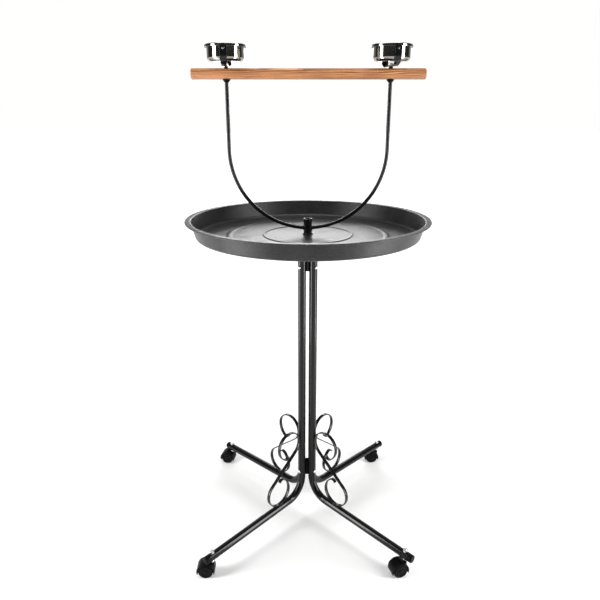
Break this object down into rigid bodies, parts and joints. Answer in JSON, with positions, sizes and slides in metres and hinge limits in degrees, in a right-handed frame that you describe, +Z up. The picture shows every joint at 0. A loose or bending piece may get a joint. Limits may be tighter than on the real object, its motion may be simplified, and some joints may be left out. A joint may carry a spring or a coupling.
{
  "type": "parrot play stand",
  "caption": "Rolling bird play stand: round tray on bent-tube legs with scrolls and casters, a U-shaped hanger, a wooden perch and lift-out steel feeding cups.",
  "frame": {"origin": "on the floor under the upright axis, midway between the four poles", "axes": "+Z up, +X along the perch towards the right-hand cup, -Y towards the front"},
  "size_m": [0.5839, 0.584, 1.2242],
  "materials": {
    "hammertone": "satin",
    "black_paint": "gloss",
    "zinc": "satin",
    "black_plastic": "satin",
    "wheel_plastic": "satin",
    "perch_wood": "satin",
    "stainless": "polished"
  },
  "bodies": {
    "stand": {"leg_front_left": "hammertone", "scroll_front_left": "hammertone", "end_plug_front_left": "black_plastic", "stem_front_left": "zinc", "leg_front_right": "hammertone", "scroll_front_right": "hammertone", "end_plug_front_right": "black_plastic", "stem_front_right": "zinc", "leg_back_left": "hammertone", "scroll_back_left": "hammertone", "end_plug_back_left": "black_plastic", "stem_back_left": "zinc", "leg_back_right": "hammertone", "scroll_back_right": "hammertone", "end_plug_back_right": "black_plastic", "stem_back_right": "zinc", "stem_nuts": "zinc", "socket_tube": "hammertone", "spacer_tube": "black_paint", "upper_screws": "zinc", "lower_screws": "zinc", "tray": "hammertone", "tray_collar": "hammertone", "hanger_rod": "hammertone", "perch": "perch_wood", "perch_seats": "black_paint", "holder_spacers": "black_paint", "holder_nuts": "zinc"},
    "caster_front_left": {"hood_front_left": "black_plastic", "axle_front_left": "zinc"},
    "wheel_front_left_a": {"wheel_front_left_a": "wheel_plastic"},
    "wheel_front_left_b": {"wheel_front_left_b": "wheel_plastic"},
    "caster_front_right": {"hood_front_right": "black_plastic", "axle_front_right": "zinc"},
    "wheel_front_right_a": {"wheel_front_right_a": "wheel_plastic"},
    "wheel_front_right_b": {"wheel_front_right_b": "wheel_plastic"},
    "caster_back_left": {"hood_back_left": "black_plastic", "axle_back_left": "zinc"},
    "wheel_back_left_a": {"wheel_back_left_a": "wheel_plastic"},
    "wheel_back_left_b": {"wheel_back_left_b": "wheel_plastic"},
    "caster_back_right": {"hood_back_right": "black_plastic", "axle_back_right": "zinc"},
    "wheel_back_right_a": {"wheel_back_right_a": "wheel_plastic"},
    "wheel_back_right_b": {"wheel_back_right_b": "wheel_plastic"},
    "cup_holder_left": {"cup_ring_left": "black_paint", "cup_strap_left": "black_paint", "strap_rivets_left": "zinc"},
    "cup_left": {"cup_left": "stainless"},
    "cup_holder_right": {"cup_ring_right": "black_paint", "cup_strap_right": "black_paint", "strap_rivets_right": "zinc"},
    "cup_right": {"cup_right": "stainless"}
  },
  "joints": [
    {"name": "caster_swivel_front_left", "type": "hinge", "parent": "stand", "child": "caster_front_left", "pos_m": [-0.23355, -0.24016, 0.036], "axis": [0, 0, 1], "continuous": true},
    {"name": "wheel_spin_front_left_a", "type": "hinge", "parent": "caster_front_left", "child": "wheel_front_left_a", "pos_m": [-0.24955, -0.24016, 0.018], "axis": [0, -1, 0], "continuous": true},
    {"name": "wheel_spin_front_left_b", "type": "hinge", "parent": "caster_front_left", "child": "wheel_front_left_b", "pos_m": [-0.24955, -0.24016, 0.018], "axis": [0, -1, 0], "continuous": true},
    {"name": "caster_swivel_front_right", "type": "hinge", "parent": "stand", "child": "caster_front_right", "pos_m": [0.23894, -0.23481, 0.036], "axis": [0, 0, 1], "continuous": true},
    {"name": "wheel_spin_front_right_a", "type": "hinge", "parent": "caster_front_right", "child": "wheel_front_right_a", "pos_m": [0.22348, -0.23895, 0.018], "axis": [0.2588, -0.9659, 0], "continuous": true},
    {"name": "wheel_spin_front_right_b", "type": "hinge", "parent": "caster_front_right", "child": "wheel_front_right_b", "pos_m": [0.22348, -0.23895, 0.018], "axis": [0.2588, -0.9659, 0], "continuous": true},
    {"name": "caster_swivel_back_left", "type": "hinge", "parent": "stand", "child": "caster_back_left", "pos_m": [-0.23647, 0.23729, 0.036], "axis": [0, 0, 1], "continuous": true},
    {"name": "wheel_spin_back_left_a", "type": "hinge", "parent": "caster_back_left", "child": "wheel_back_left_a", "pos_m": [-0.25212, 0.24062, 0.018], "axis": [-0.2079, -0.9781, 0], "continuous": true},
    {"name": "wheel_spin_back_left_b", "type": "hinge", "parent": "caster_back_left", "child": "wheel_back_left_b", "pos_m": [-0.25212, 0.24062, 0.018], "axis": [-0.2079, -0.9781, 0], "continuous": true},
    {"name": "caster_swivel_back_right", "type": "hinge", "parent": "stand", "child": "caster_back_right", "pos_m": [0.22804, 0.2454, 0.036], "axis": [0, 0, 1], "continuous": true},
    {"name": "wheel_spin_back_right_a", "type": "hinge", "parent": "caster_back_right", "child": "wheel_back_right_a", "pos_m": [0.2121, 0.24401, 0.018], "axis": [0.0872, -0.9962, 0], "continuous": true},
    {"name": "wheel_spin_back_right_b", "type": "hinge", "parent": "caster_back_right", "child": "wheel_back_right_b", "pos_m": [0.2121, 0.24401, 0.018], "axis": [0.0872, -0.9962, 0], "continuous": true},
    {"name": "holder_turn_left", "type": "hinge", "parent": "stand", "child": "cup_holder_left", "pos_m": [-0.183, 0, 1.179], "axis": [0, 0, 1], "continuous": true},
    {"name": "cup_lift_left", "type": "slide", "parent": "cup_holder_left", "child": "cup_left", "axis": [0, 0, 1], "range_m": [0, 0.06]},
    {"name": "holder_turn_right", "type": "hinge", "parent": "stand", "child": "cup_holder_right", "pos_m": [0.183, 0, 1.179], "axis": [0, 0, 1], "continuous": true},
    {"name": "cup_lift_right", "type": "slide", "parent": "cup_holder_right", "child": "cup_right", "axis": [0, 0, 1], "range_m": [0, 0.06]}
  ]
}
